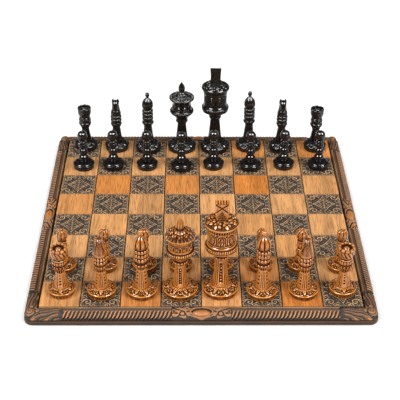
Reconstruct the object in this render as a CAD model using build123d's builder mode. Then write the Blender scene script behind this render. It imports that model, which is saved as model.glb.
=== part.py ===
"""Chess set on a carved, framed board.

The board lies in the XY plane with the origin under its middle: +Z is up, the
honey-coloured men stand along -Y and the black men along +Y. All sizes are in
millimetres. Each sub-part is built by its own function and written to its own
STEP file in the position where it stands or is fixed on the finished set.
"""
from build123d import *
import os
from math import hypot

# Driving dimensions of the board
SQUARE = 45.0                  # side of one square of the field
FIELD = 8 * SQUARE             # side of the whole playing field
RAIL_WIDTH = 16.0              # width of the frame around the field
BOARD = FIELD + 2 * RAIL_WIDTH
CORNER_RADIUS = 12.0           # rounding of the board's outer corners

# Layers of the board, from the table up
BAIZE = 1.0                    # cloth under the board
BACKING = 4.0                  # backing board, let into the rails
CORE = 6.0                     # core panel that carries the squares
TILE = 4.0                     # thickness of one square
TILE_GAP = 0.9                 # dark line between two squares
BACKING_TOP = BAIZE + BACKING
CORE_TOP = BACKING_TOP + CORE
FIELD_TOP = CORE_TOP + TILE    # the surface that the men stand on

# The frame
SHELF = 8.0                    # top of the plain rail, where the mouldings are glued
RABBET = 6.0                   # how far the backing board reaches under a rail
PLINTH_TOP = 6.0               # rounded outer edge of the rail
PLINTH_ROUND = 2.0             # radius of that rounding
GROOVE = 1.8                   # dark line between field and mouldings
FILLET_WIDTH = 1.8             # light strip along the field
FILLET_TOP = FIELD_TOP + 1.0
GADROON_TOP = 15.6
RIB_PITCH = 4.2                # spacing of the slanted ribs
CORNER_ARM = 44.0              # length of a corner carving along each rail
CARTOUCHE = 66.0               # length of a mid-side carving
CABOCHON = (21.4, 10.4)        # the oval boss in each mid-side carving
SPLINE_SIDE = 6.0              # square plate glued across each mitre
SPLINE_THICKNESS = 1.2
SPLINE_BOTTOM = 3.0
SCREW_OFFSET = 2.6             # screw line, measured from the field's edge
SCREW_HEAD = 2.8               # radius of a screw's head, in a sink 0.2 mm larger
SCREW_SINK = 1.8               # depth of that sink
SCREW_SHANK = 1.5
SCREW_TIP = SHELF - 0.8        # how high the screws reach into the rails
SCREW_PLACES = (-140.0, -50.0, 50.0, 140.0)

# The chessmen: radius of the base of each kind
BASE_RADIUS = {
    "king": 20.4, "queen": 19.8, "bishop": 17.6,
    "knight": 16.6, "rook": 15.5, "pawn": 14.2,
}
RIM = 4.6                      # height of the upright rim around each base
LIP = 1.3                      # how far the lip above that rim stands out
SHOULDER = 11.0                # height where the stem rises from the base

# The men stand as a hand sets them: (x, y) from the middle of their square
BACK_RANK = ("rook_a", "knight_b", "bishop_c", "queen", "king", "bishop_f", "knight_g", "rook_h")
PAWNS = tuple("pawn_" + column for column in "abcdefgh")
WHITE_BACK = ((1, 3), (1, 2), (1, 2), (-1, 4), (-1, 6), (0.5, 1), (2, 1), (1.5, 4.5))
WHITE_PAWNS = ((-0.5, 2), (2, 3), (2.5, 3), (-1, 3), (1, 3), (2, 3), (2, 3), (3, 2))
BLACK_BACK = ((2.5, 5), (0, 3), (-2, 1), (-1, 3), (-1, 3.5), (0.5, 5), (0, 3), (2, 3))
BLACK_PAWNS = ((3.5, -2), (-2, -1), (-2, -1), (-1.5, -4), (-3.5, 0), (0.5, -2), (0.5, 1), (2, 0))


def save(part, name):
    """Name a finished sub-part and write its STEP file."""
    part.label = name
    export_step(part, f"parts/{name}.step")


# ---------------------------------------------------------------- the board

def square_centres(dark):
    """Middles of the 32 dark or the 32 light squares; the near left square is light."""
    centres = []
    for column in range(8):
        for row in range(8):
            if (column + row) % 2 == (1 if dark else 0):
                centres.append(((column - 3.5) * SQUARE, (row - 3.5) * SQUARE))
    return centres


def baize():
    """Cloth glued under the whole board."""
    with BuildPart() as cloth:
        with BuildSketch():
            RectangleRounded(BOARD - 6, BOARD - 6, CORNER_RADIUS)
        extrude(amount=BAIZE)
    save(cloth.part, "baize")


def backing_board():
    """Thin board let into the rails from below, bored for the screws."""
    side = FIELD + 2 * RABBET
    with BuildPart() as board:
        with BuildSketch(Plane.XY.offset(BAIZE)):
            Rectangle(side, side)
        extrude(amount=BACKING)
        underside = board.faces().sort_by(Axis.Z)[0]
        with Locations(Plane(underside, x_dir=(1, 0, 0))):
            with Locations(*screw_places()):
                CounterBoreHole(radius=SCREW_SHANK + 0.3, counter_bore_radius=SCREW_HEAD + 0.2,
                                counter_bore_depth=SCREW_SINK)
    save(board.part, "backing_board")


def core_panel():
    """Panel between the rails that carries the squares."""
    with BuildPart() as panel:
        with BuildSketch(Plane.XY.offset(BACKING_TOP)):
            Rectangle(FIELD, FIELD)
        extrude(amount=CORE)
    save(panel.part, "core_panel")


def light_squares():
    """Plain wooden squares with a slightly eased upper edge."""
    with BuildPart() as squares:
        with BuildSketch(Plane.XY.offset(CORE_TOP)):
            with Locations(*square_centres(dark=False)):
                Rectangle(SQUARE - TILE_GAP, SQUARE - TILE_GAP)
        extrude(amount=TILE)
        chamfer(squares.faces().filter_by(Plane.XY).group_by(Axis.Z)[-1].edges(), length=0.3)
    save(squares.part, "light_squares")


def lens(length, width):
    """Pointed oval: two arcs that meet at the ends, lying along X."""
    with BuildLine() as outline:
        ThreePointArc((-length / 2, 0), (0, width / 2), (length / 2, 0))
        ThreePointArc((length / 2, 0), (0, -width / 2), (-length / 2, 0))
    return outline.edges()


def dark_squares():
    """Carved squares: a sunk ground around a raised pointed oval."""
    pocket_depth = 1.0
    with BuildPart() as squares:
        with BuildSketch(Plane.XY.offset(CORE_TOP)):
            with Locations(*square_centres(dark=True)):
                Rectangle(SQUARE - TILE_GAP, SQUARE - TILE_GAP)
        extrude(amount=TILE)
        for centre in square_centres(dark=True):
            with BuildSketch(Plane.XY.offset(FIELD_TOP).move(Location((*centre, 0)))):
                RectangleRounded(SQUARE - 5, SQUARE - 5, 4)
            extrude(amount=-pocket_depth, mode=Mode.SUBTRACT)
            with BuildSketch(Plane.XY.offset(FIELD_TOP).move(Location((*centre, 0)))):
                make_face(lens(SQUARE - 11, 16))
            extrude(amount=-pocket_depth)
    save(squares.part, "dark_squares")


def screw_places():
    """Screw centres around the backing board, in its own plane."""
    line = FIELD / 2 + SCREW_OFFSET
    places = []
    for place in SCREW_PLACES:
        places += [(place, line), (place, -line), (line, place), (-line, place)]
    return places


def screws():
    """Round-headed wood screws that hold the backing board to the rails."""
    seat = BAIZE + SCREW_SINK
    with BuildPart() as all_screws:
        with BuildSketch(Plane.XY.offset(seat)):
            with Locations(*screw_places()):
                Circle(SCREW_HEAD)
        extrude(amount=0.2 - SCREW_SINK)
        with BuildSketch(Plane.XY.offset(seat)):
            with Locations(*screw_places()):
                Circle(SCREW_SHANK)
        extrude(amount=SCREW_TIP - seat)
    save(all_screws.part, "screws")


def rail_section():
    """Section of a rail: rabbet inside, rounded plinth outside, set back above the plinth."""
    round_start = PLINTH_TOP - PLINTH_ROUND
    set_back = RAIL_WIDTH - PLINTH_ROUND
    on_round = PLINTH_ROUND * 0.7071
    with BuildLine() as outline:
        Polyline(
            (0, BACKING_TOP), (RABBET, BACKING_TOP), (RABBET, BAIZE), (RAIL_WIDTH - 1, BAIZE),
            (RAIL_WIDTH, BAIZE + 1), (RAIL_WIDTH, round_start),
        )
        ThreePointArc((RAIL_WIDTH, round_start), (set_back + on_round, round_start + on_round),
                      (set_back, PLINTH_TOP))
        Polyline((set_back, PLINTH_TOP), (set_back, SHELF), (0, SHELF), (0, BACKING_TOP))
    return outline.edges()


def rails():
    """Four mitred rails, each with half of a spline slot at both ends."""
    section_plane = Plane(origin=(BOARD / 2, -FIELD / 2, 0), x_dir=(0, -1, 0), z_dir=(-1, 0, 0))
    with BuildPart() as rail:
        with BuildSketch(section_plane):
            make_face(rail_section())
        extrude(amount=BOARD)
        for side in (-1, 1):
            mitre = Plane(origin=(side * BOARD / 2, -BOARD / 2, 0), z_dir=(side, 1, 0))
            split(bisect_by=mitre, keep=Keep.BOTTOM)
        with BuildSketch():
            RectangleRounded(BOARD, BOARD, CORNER_RADIUS)
        extrude(amount=FIELD_TOP, mode=Mode.INTERSECT)
        with BuildSketch(Plane.XY.offset(SPLINE_BOTTOM)):
            spline_outline()
        extrude(amount=SPLINE_THICKNESS, mode=Mode.SUBTRACT)
        with Locations(*[(x, -FIELD / 2 - SCREW_OFFSET, SCREW_TIP) for x in SCREW_PLACES]):
            Cylinder(SCREW_SHANK, SCREW_TIP, align=(Align.CENTER, Align.CENTER, Align.MAX),
                     mode=Mode.SUBTRACT)
    for turn, name in enumerate(("front", "right", "back", "left")):
        with BuildPart() as placed:
            with Locations(Location((0, 0, 0), (0, 0, 90 * turn))):
                add(rail.part)
        save(placed.part, f"rail_{name}")


def spline_outline():
    """Small square plates laid across the four mitres."""
    middle = BOARD / 2 - 6.4
    with Locations((middle, middle), (-middle, middle), (-middle, -middle), (middle, -middle)):
        Rectangle(SPLINE_SIDE, SPLINE_SIDE, rotation=45)


def mitre_splines():
    """The four splines glued into the mitres."""
    with BuildPart() as splines:
        with BuildSketch(Plane.XY.offset(SPLINE_BOTTOM)):
            spline_outline()
        extrude(amount=SPLINE_THICKNESS)
    save(splines.part, "mitre_splines")


def run_ends():
    """Where a run of moulding starts and ends, between cartouche and corner."""
    return CARTOUCHE / 2, BOARD / 2 - CORNER_ARM


def fillet_strips():
    """Light rounded strips along the field, two on each side of the board."""
    start, end = run_ends()
    with BuildPart() as strips:
        for side in (-1, 1):
            with Locations((side * (start + end) / 2, -FIELD / 2 - GROOVE - FILLET_WIDTH / 2, SHELF)):
                Box(end - start, FILLET_WIDTH, FILLET_TOP - SHELF,
                    align=(Align.CENTER, Align.CENTER, Align.MIN))
        long_edges = strips.edges().filter_by(Axis.X).group_by(Axis.Z)[-1]
        fillet(long_edges, radius=0.7)
    with BuildPart() as all_strips:
        with PolarLocations(0, 4):
            add(strips.part)
    save(all_strips.part, "fillet_strips")


def gadroon_section(inner):
    """Section of the gadroon: a hollow beside the light strip, then a quarter round."""
    with BuildLine() as outline:
        Line((inner, SHELF), (RAIL_WIDTH - 0.4, SHELF))
        ThreePointArc((RAIL_WIDTH - 0.4, SHELF), (RAIL_WIDTH - 2.4, 13.7), (inner + 3.6, GADROON_TOP))
        ThreePointArc((inner + 3.6, GADROON_TOP), (inner + 1.8, 14.0), (inner, 14.2))
        Line((inner, 14.2), (inner, SHELF))
    return outline.edges()


def gadroons():
    """Quarter-round mouldings cut into slanted ribs, two runs on each side."""
    start, end = run_ends()
    inner = GROOVE + FILLET_WIDTH
    ribs = int((end - start) / RIB_PITCH)
    section_plane = Plane(origin=(end, -FIELD / 2, 0), x_dir=(0, -1, 0), z_dir=(-1, 0, 0))
    with BuildPart() as run:
        with BuildSketch(section_plane):
            make_face(gadroon_section(inner))
        extrude(amount=end - start)
        middle = (start + end) / 2
        first = middle - (ribs - 1) / 2 * RIB_PITCH
        for rib in range(ribs):
            foot = Location((first + rib * RIB_PITCH, -FIELD / 2 - RAIL_WIDTH + 3.4, GADROON_TOP - 0.6))
            with Locations(foot * Location((0, 0, 0), (42, 0, -24))):
                Cylinder(0.7, 3 * RAIL_WIDTH, rotation=(90, 0, 0), mode=Mode.SUBTRACT)
    with BuildPart() as both_runs:
        with Locations((0, 0, 0), (-(start + end), 0, 0)):
            add(run.part)
    for turn, name in enumerate(("front", "right", "back", "left")):
        with BuildPart() as placed:
            with Locations(Location((0, 0, 0), (0, 0, 90 * turn))):
                add(both_runs.part)
        save(placed.part, f"gadroon_{name}")


def corner_carvings():
    """Leaf carving on each corner of the frame, with a round knob at the very corner."""
    inner_side = FIELD + 2 * GROOVE
    middle = (BOARD - CORNER_ARM) / 2
    knob = BOARD / 2 - 7.8
    with BuildPart() as carving:
        for bottom, top, inset in ((SHELF, 13.4, 0.4), (13.4, 15.2, 2.4)):
            with BuildSketch(Plane.XY.offset(bottom)):
                RectangleRounded(BOARD - 2 * inset, BOARD - 2 * inset, CORNER_RADIUS)
                Rectangle(inner_side + 2 * inset - 0.8, inner_side + 2 * inset - 0.8, mode=Mode.SUBTRACT)
                with Locations((middle, -middle)):
                    Rectangle(CORNER_ARM - 2 * inset + 0.8, CORNER_ARM - 2 * inset + 0.8,
                              mode=Mode.INTERSECT)
            extrude(amount=top - bottom)
        with Locations((knob, -knob, 12)):
            Cylinder(5.2, 4, align=(Align.CENTER, Align.CENTER, Align.MIN))
        fillet(carving.faces().sort_by(Axis.Z)[-1].edges(), radius=0.6)
    for turn, name in enumerate(("front_right", "back_right", "back_left", "front_left")):
        with BuildPart() as placed:
            with Locations(Location((0, 0, 0), (0, 0, 90 * turn))):
                add(carving.part)
        save(placed.part, f"corner_{name}")


def cartouches():
    """Scrolled carving in the middle of each side, sunk to take an oval cabochon."""
    depth = RAIL_WIDTH - GROOVE - 0.4
    middle = -FIELD / 2 - GROOVE - depth / 2
    ring = Plane(origin=(0, middle, 0))
    with BuildPart() as carving:
        with BuildSketch(ring.offset(SHELF)):
            Rectangle(CARTOUCHE, depth)
        extrude(amount=5)
        with BuildSketch(ring.offset(SHELF + 5)):
            Ellipse(CABOCHON[0] / 2 + 3.4, depth / 2)
            with Locations((-25, 0), (25, 0)):
                Ellipse(6, 4)
        extrude(amount=1.8)
        with BuildSketch(ring.offset(SHELF + 2)):
            Ellipse(CABOCHON[0] / 2, CABOCHON[1] / 2)
        extrude(amount=8, mode=Mode.SUBTRACT)
        with Locations((-14.6, middle - 3.0, SHELF + 5.2), (14.6, middle - 3.0, SHELF + 5.2)):
            Sphere(1.9)
    with BuildPart() as cabochon:
        with BuildSketch(ring.offset(SHELF + 2)):
            Ellipse(CABOCHON[0] / 2, CABOCHON[1] / 2)
        extrude(amount=5.6)
        fillet(cabochon.faces().sort_by(Axis.Z)[-1].edges(), radius=1.4)
    for turn, name in enumerate(("front", "right", "back", "left")):
        with BuildPart() as placed:
            with Locations(Location((0, 0, 0), (0, 0, 90 * turn))):
                add(carving.part)
        save(placed.part, f"cartouche_{name}")
    with BuildPart() as cabochons:
        with PolarLocations(0, 4):
            add(cabochon.part)
    save(cabochons.part, "cabochons")


# ------------------------------------------------------------- the chessmen

def turned_outline(kind, steps):
    """Half outline of a turned piece, from the base up.

    Each step is (radius, height, bulge): the outline goes there straight when
    the bulge is 0, in a bead when it is positive and in a cove when negative.
    """
    radius = BASE_RADIUS[kind]
    path = [
        (radius - LIP, RIM, 0), (radius, RIM + 1.6, 0.2), (radius - 1.0, RIM + 2.8, 0.2),
    ] + steps
    with BuildLine() as outline:
        here = (radius - LIP, 0)
        Line((0, 0), here)
        for end_radius, end_height, bulge in path:
            there = (end_radius, end_height)
            if bulge:
                chord = hypot(there[0] - here[0], there[1] - here[1])
                middle = (
                    (here[0] + there[0]) / 2 + bulge * (there[1] - here[1]) / chord,
                    (here[1] + there[1]) / 2 - bulge * (there[0] - here[0]) / chord,
                )
                ThreePointArc(here, middle, there)
            else:
                Line(here, there)
            here = there
        if here[0] > 0:
            Line(here, (0, here[1]))
        Line((0, here[1]), (0, 0))
    return outline.edges()


def king():
    """King: tall stem, flared collar, drum, domed cap and a square finial."""
    with BuildPart() as piece:
        with BuildSketch(Plane.XZ):
            make_face(turned_outline("king", [
                (9.4, SHOULDER, 0.8), (8.8, 20.0, -0.2), (5.9, 45.0, -0.5),
                (7.6, 47.5, 0), (7.6, 51.5, 0.8), (7.0, 52.5, 0), (10.4, 53.6, 0),
                (17.6, 59.8, -1.0), (17.6, 64.8, 1.2), (15.6, 66.6, 0), (15.3, 75.0, -0.3),
                (16.0, 86.0, 0), (18.0, 91.2, -0.6), (18.2, 94.6, 0.8), (10.0, 98.8, 0.8),
                (0, 99.6, 0),
            ]))
        revolve(axis=Axis.Z)
        with BuildSketch(Plane.XY.offset(99.0)):
            Rectangle(14.0, 14.0)
        with BuildSketch(Plane.XY.offset(110.0)):
            Rectangle(1.2, 1.2)
        loft()
        with BuildSketch(Plane.XY.offset(100.0)):
            Rectangle(13.2, 6.0)
        with BuildSketch(Plane.XY.offset(120.0)):
            Rectangle(14.6, 7.0)
        loft()
        chamfer(piece.faces().sort_by(Axis.Z)[-1].edges(), length=0.6)
    return piece


def queen():
    """Queen: stem, flared collar, drum, lobed coronet and a bud."""
    with BuildPart() as piece:
        with BuildSketch(Plane.XZ):
            make_face(turned_outline("queen", [
                (8.8, SHOULDER, 0.8), (7.9, 20.0, -0.2), (5.4, 39.0, -0.4),
                (7.4, 41.0, 0), (7.4, 46.5, 0.9), (6.8, 47.5, 0), (7.7, 48.2, 0),
                (15.4, 56.6, -1.2), (15.4, 58.8, 0.8), (12.9, 59.6, 0), (12.7, 71.5, -0.3),
                (16.4, 76.8, -0.4), (16.6, 79.8, 0.4), (7.0, 84.0, 0.5), (5.4, 86.2, 0),
                (4.0, 88.8, -0.3), (2.2, 98.5, 1.6), (0.8, 101.3, 0),
            ]))
        revolve(axis=Axis.Z)
        with BuildSketch(Plane.XY.offset(76.0)):
            with PolarLocations(17.4, 8, start_angle=22.5):
                Circle(2.4)
        extrude(amount=9, mode=Mode.SUBTRACT)
    return piece


def bishop():
    """Bishop: stem, beaded neck and a pointed bud with a small ball."""
    with BuildPart() as piece:
        with BuildSketch(Plane.XZ):
            make_face(turned_outline("bishop", [
                (8.2, SHOULDER, 0.7), (7.2, 19.0, -0.2), (5.2, 34.0, -0.4),
                (7.4, 40.6, -0.4), (7.6, 43.6, 0.5), (6.4, 45.2, 0),
                (6.4, 50.6, 1.4), (6.4, 56.2, 1.4), (6.4, 61.8, 1.4),
                (7.8, 68.5, 0.6), (1.2, 79.6, 0.9), (1.2, 86.2, 2.2),
            ]))
        revolve(axis=Axis.Z)
    return piece


def horse_outline():
    """Side view of the horse's head and neck, which looks along -Y."""
    with BuildLine() as outline:
        Polyline(
            (5.4, 55.0), (6.2, 62.0), (5.6, 67.5), (3.8, 71.5), (1.4, 73.0), (-1.6, 72.2),
            (-4.4, 69.0), (-8.4, 63.8), (-8.8, 61.0), (-6.4, 59.2), (-3.6, 61.2), (-2.2, 62.8),
            (-2.8, 59.0), (-5.4, 55.0), (5.4, 55.0),
        )
    return outline.edges()


def knight():
    """Knight: turned base and collar with a horse's head that looks along -Y."""
    with BuildPart() as piece:
        with BuildSketch(Plane.XZ):
            make_face(turned_outline("knight", [
                (8.0, SHOULDER, 0.6), (6.9, 18.0, -0.2), (5.0, 31.0, -0.4),
                (7.0, 36.5, -0.4), (7.3, 40.5, 0.5), (6.4, 42.0, 0),
                (6.4, 47.0, 1.0), (6.4, 52.0, 1.0), (7.0, 53.4, 0), (6.0, 59.0, 0.4),
                (4.4, 60.4, 0),
            ]))
        revolve(axis=Axis.Z)
        with BuildSketch(Plane.YZ):
            make_face(horse_outline())
        extrude(amount=4.4, both=True)
        with Locations((-3.2, 0.8, 71.0), (3.2, 0.8, 71.0)):
            Cone(1.7, 0.5, 5.0, align=(Align.CENTER, Align.CENTER, Align.MIN))
    return piece


def rook():
    """Rook: stem, banded neck and a hollow crown with twelve notches."""
    notches = 12
    with BuildPart() as piece:
        with BuildSketch(Plane.XZ):
            make_face(turned_outline("rook", [
                (8.4, SHOULDER, 0.6), (6.9, 17.0, -0.3), (5.0, 29.0, -0.4),
                (8.0, 36.5, 0), (8.0, 41.0, 0.6), (7.4, 41.8, 0), (7.4, 47.0, 0.8),
                (6.9, 48.6, 0), (8.2, 50.4, 0.5), (7.9, 56.5, -0.2), (9.2, 62.0, -0.2),
            ]))
        revolve(axis=Axis.Z)
        with Locations((0, 0, 55.5)):
            Cylinder(7.2, 10, align=(Align.CENTER, Align.CENTER, Align.MIN), mode=Mode.SUBTRACT)
        with Locations((0, 0, 55.5)):
            Cone(3.0, 1.6, 3.4, align=(Align.CENTER, Align.CENTER, Align.MIN))
        with PolarLocations(8.4, notches):
            with Locations((0, 0, 60.8)):
                Box(3.0, 1.4, 3.0, align=(Align.CENTER, Align.CENTER, Align.MIN), mode=Mode.SUBTRACT)
    return piece


def pawn():
    """Pawn: three balls of falling size, a ring and a round head."""
    with BuildPart() as piece:
        with BuildSketch(Plane.XZ):
            make_face(turned_outline("pawn", [
                (5.6, 9.6, 0.5), (4.2, 18.4, 2.6), (3.8, 28.2, 2.8), (3.4, 36.8, 2.7),
                (4.6, 37.6, 0), (4.6, 39.4, 0.4), (3.4, 40.8, 0), (1.2, 54.8, 6.0),
                (0.9, 55.6, 0),
            ]))
        revolve(axis=Axis.Z)
    return piece


def chessmen():
    """Copy each kind to the squares where a game starts."""
    kinds = {
        "king": king(), "queen": queen(), "bishop": bishop(),
        "knight": knight(), "rook": rook(), "pawn": pawn(),
    }
    ranks = (
        ("white", BACK_RANK, WHITE_BACK, -3.5, 180), ("white", PAWNS, WHITE_PAWNS, -2.5, 180),
        ("black", PAWNS, BLACK_PAWNS, 2.5, 0), ("black", BACK_RANK, BLACK_BACK, 3.5, 0),
    )
    for colour, names, offsets, row, facing in ranks:
        for column, (name, (dx, dy)) in enumerate(zip(names, offsets)):
            spot = ((column - 3.5) * SQUARE + dx, row * SQUARE + dy, FIELD_TOP)
            with BuildPart() as placed:
                with Locations(Location(spot, (0, 0, facing))):
                    add(kinds[name.split("_")[0]].part)
            save(placed.part, f"{colour}_{name}")


os.makedirs("parts", exist_ok=True)
baize()
backing_board()
core_panel()
light_squares()
dark_squares()
screws()
rails()
mitre_splines()
fillet_strips()
gadroons()
corner_carvings()
cartouches()
chessmen()
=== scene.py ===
"""Looks of the chess set: carved men and board built as meshes around the CAD frame.

Lengths inside the shape functions are millimetres; MM turns them into metres.
"""
import bpy
import numpy as np
from math import ceil, cos, hypot, pi, radians, sin
from mathutils import Matrix, Vector


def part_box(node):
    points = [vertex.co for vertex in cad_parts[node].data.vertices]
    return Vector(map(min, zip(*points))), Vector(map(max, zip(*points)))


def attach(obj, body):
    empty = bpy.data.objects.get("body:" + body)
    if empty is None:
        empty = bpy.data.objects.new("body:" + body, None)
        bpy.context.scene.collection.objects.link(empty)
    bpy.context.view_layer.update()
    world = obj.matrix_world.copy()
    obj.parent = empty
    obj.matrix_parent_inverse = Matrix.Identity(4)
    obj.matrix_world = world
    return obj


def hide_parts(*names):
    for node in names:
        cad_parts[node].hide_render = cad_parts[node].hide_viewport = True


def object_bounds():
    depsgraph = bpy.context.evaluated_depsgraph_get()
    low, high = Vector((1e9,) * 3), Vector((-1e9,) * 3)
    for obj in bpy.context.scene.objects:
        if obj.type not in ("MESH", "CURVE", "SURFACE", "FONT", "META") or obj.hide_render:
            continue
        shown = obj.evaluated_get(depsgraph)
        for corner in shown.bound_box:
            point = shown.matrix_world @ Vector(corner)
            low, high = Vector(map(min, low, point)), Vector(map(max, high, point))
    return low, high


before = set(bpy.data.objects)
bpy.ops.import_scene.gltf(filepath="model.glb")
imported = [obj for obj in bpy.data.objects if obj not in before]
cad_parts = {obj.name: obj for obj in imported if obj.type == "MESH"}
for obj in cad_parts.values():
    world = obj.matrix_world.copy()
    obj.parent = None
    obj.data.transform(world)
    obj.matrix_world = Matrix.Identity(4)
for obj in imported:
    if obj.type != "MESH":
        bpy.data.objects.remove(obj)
cad_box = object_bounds()

MM = 0.001
TAU = 2 * pi
FIELD_LOW, FIELD_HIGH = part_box("light_squares")
FIELD_TOP = FIELD_HIGH[2]
TILE_GAP = 0.9
GROOVE = 1.8
SQUARE = (FIELD_HIGH[0] - FIELD_LOW[0] + TILE_GAP * MM) / 8
EDGE_INSET = 0.5
OUTLINE = cad_box[1][0] / MM - EDGE_INSET
FIELD_HALF = 4 * SQUARE / MM
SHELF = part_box("gadroon_front")[0][2] / MM
FILLET_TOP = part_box("fillet_strips")[1][2] / MM
RISE = FILLET_TOP - SHELF
SIDES = ("front", "right", "back", "left")
CORNERS = ("front_right", "back_right", "back_left", "front_left")
CORNER_ROUND = 11.6
EDGE_ROUND = 7.5
RIB_DEPTH = 1.7
CABOCHON_HALF = 5.2
CABOCHON_LIP = 1.2
TILE_DEPTH = 1.0
TILE_SAMPLES = 104
SHARP_ANGLE = radians(50)
SUN_ANGLE = radians(26)


# ---- mesh building

def ease(low, high, value):
    """0 below low, 1 above high, smooth in between."""
    t = np.clip((value - low) / (high - low), 0, 1)
    return t * t * (3 - 2 * t)


def away(value, low, high):
    """The same over how far a value lies from zero, on either side."""
    return ease(low, high, np.abs(value))


def half_round(value):
    """Half circle over -1 to 1: 1 in the middle, 0 outside."""
    return np.sqrt(np.clip(1 - value ** 2, 0, 1))


def new_mesh(name, shape, material):
    """Mesh from a shape: points in millimetres, quads, triangles, and one cavity value per point."""
    points, *faces, cavity = shape
    mesh = bpy.data.meshes.new(name)
    sizes = np.concatenate([np.full(len(group), group.shape[1]) for group in faces])
    loops = np.concatenate([group.ravel() for group in faces]).astype(np.int32)
    starts = np.concatenate([[0], np.cumsum(sizes)[:-1]]).astype(np.int32)
    mesh.vertices.add(len(points))
    mesh.vertices.foreach_set("co", (points * MM).astype(np.float32).ravel())
    mesh.loops.add(len(loops))
    mesh.loops.foreach_set("vertex_index", loops)
    mesh.polygons.add(len(sizes))
    mesh.polygons.foreach_set("loop_start", starts)
    mesh.polygons.foreach_set("loop_total", sizes.astype(np.int32))
    mesh.update(calc_edges=True)
    mesh.validate()
    layer = mesh.attributes.new("cavity", "FLOAT", "POINT")
    layer.data.foreach_set("value", np.clip(cavity, 0, 1).astype(np.float32))
    mesh.polygons.foreach_set("use_smooth", np.ones(len(sizes), dtype=bool))
    mesh.set_sharp_from_angle(angle=SHARP_ANGLE)
    mesh.materials.append(material)
    return mesh


def grid_faces(rows, columns, first=0, wrap=False):
    """Quads of a grid of points, numbered row by row."""
    across = columns if wrap else columns - 1
    row, column = np.meshgrid(np.arange(rows - 1), np.arange(across), indexing="ij")
    right = (column + 1) % columns
    corners = (row * columns + column, row * columns + right,
               (row + 1) * columns + right, (row + 1) * columns + column)
    return first + np.stack(corners, axis=-1).reshape(-1, 4)


def join(shapes):
    """One shape from several."""
    points, *faces, cavity = zip(*shapes)
    first = np.cumsum([0] + [len(group) for group in points])
    quads, triangles = (np.concatenate([group + start for group, start in zip(kind, first)])
                        for kind in faces)
    return np.concatenate(points), quads, triangles, np.concatenate(cavity)


def closed_tube(rings, start, end, cavity):
    """Shape from rings of points, closed with a fan to one point at each end."""
    count, around = rings.shape[:2]
    total = count * around
    ring = np.arange(around)
    after = (ring + 1) % around
    last = total - around
    fans = np.concatenate([np.stack([np.full(around, total), after, ring], axis=1),
                           np.stack([np.full(around, total + 1), last + ring, last + after], axis=1)])
    return (np.concatenate([rings.reshape(-1, 3), [start, end]]),
            grid_faces(count, around, wrap=True), fans, np.concatenate([cavity.ravel(), [0, 0]]))


def rim_of(rows, columns):
    """Numbers of the points once around the edge of a grid."""
    index = np.arange(rows * columns).reshape(rows, columns)
    return np.concatenate([index[0, :-1], index[:-1, -1], index[-1, :0:-1], index[:0:-1, 0]])


def closed_sheet(top, under, cavity):
    """Shape between two grids of points, joined around their edges."""
    rows, columns = top.shape[:2]
    count = rows * columns
    rim = rim_of(rows, columns)
    after = np.roll(rim, -1)
    quads = np.concatenate([grid_faces(rows, columns), grid_faces(rows, columns, first=count)[:, ::-1],
                            np.stack([after, rim, rim + count, after + count], axis=1)])
    points = np.concatenate([top.reshape(-1, 3), under.reshape(-1, 3)])
    return points, quads, np.zeros((0, 3), int), cavity


def outline_samples(steps, spacing):
    """Points along a turned outline, each with its step and how far along that step it lies."""
    rows = [(*steps[0][:2], 1, 0.0)]
    for index, (here, there) in enumerate(zip(steps, steps[1:]), start=1):
        along, up = there[0] - here[0], there[1] - here[1]
        chord = hypot(along, up)
        count = max(2, ceil((chord + abs(there[2])) / spacing))
        for number in range(1, count + 1):
            t = number / count
            swell = 4 * there[2] * t * (1 - t)
            rows.append((here[0] + along * t + up / chord * swell,
                         here[1] + up * t - along / chord * swell, index, t))
    return np.array(rows)


def lathe(steps, carve, around=192, spacing=0.5):
    """Turned solid with carved bands.

    Each step is (radius, height, bulge, relief, depth): relief(u, v) gives the
    height and the cavity of the carving, u once around and v along the step.
    carve weakens or strengthens all of it.
    """
    rows = outline_samples(steps, spacing)
    radius, height = rows[:, 0].copy(), rows[:, 1].copy()
    for values in (radius, height):
        values[1:-1] = (values[:-2] + 2 * values[1:-1] + values[2:]) / 4
    tangent = np.stack([np.gradient(radius), np.gradient(height)], axis=1)
    tangent /= np.maximum(np.hypot(tangent[:, 0], tangent[:, 1]), 1e-9)[:, None]
    u = np.arange(around) / around
    lift, cavity = np.zeros((2, len(rows), around))
    for index, step in enumerate(steps):
        if len(step) > 3:
            mine = rows[:, 2] == index
            rise, dark = step[3](u[None, :], rows[mine, 3][:, None])
            lift[mine] = rise * step[4] * carve
            cavity[mine] = dark
    angle = TAU * u[None, :]
    r = np.maximum(radius[:, None] + lift * tangent[:, 1:], 0.02)
    z = height[:, None] - lift * tangent[:, :1]
    points = np.stack([r * np.sin(angle), -r * np.cos(angle), np.broadcast_to(z, r.shape)], axis=-1)
    return closed_tube(points, (0, 0, height[0]), (0, 0, height[-1] + 0.02), cavity)


def slab(top, cavity, floor):
    """Closed carving: a grid of top points, straight sides and a flat underside at floor."""
    under = top.copy()
    under[..., 2] = floor
    return closed_sheet(top, under, np.concatenate([cavity.ravel(), np.ones(cavity.size)]))


def tile_slab(top, cavity, floor):
    """Closed square tile: a grid of top points, straight sides and one fan underneath."""
    rows, columns = top.shape[:2]
    rim = rim_of(rows, columns)
    foot = top.reshape(-1, 3)[rim].copy()
    foot[:, 2] = floor
    under = rows * columns + np.arange(len(rim))
    after = np.roll(under, -1)
    walls = np.stack([np.roll(rim, -1), rim, under, after], axis=1)
    middle = foot.mean(axis=0)[None]
    fan = np.stack([np.full(len(rim), under[-1] + 1), after, under], axis=1)
    points = np.concatenate([top.reshape(-1, 3), foot, middle])
    shade = np.concatenate([cavity.ravel(), np.ones(len(rim) + 1)])
    return points, np.concatenate([grid_faces(rows, columns), walls]), fan, shade


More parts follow.
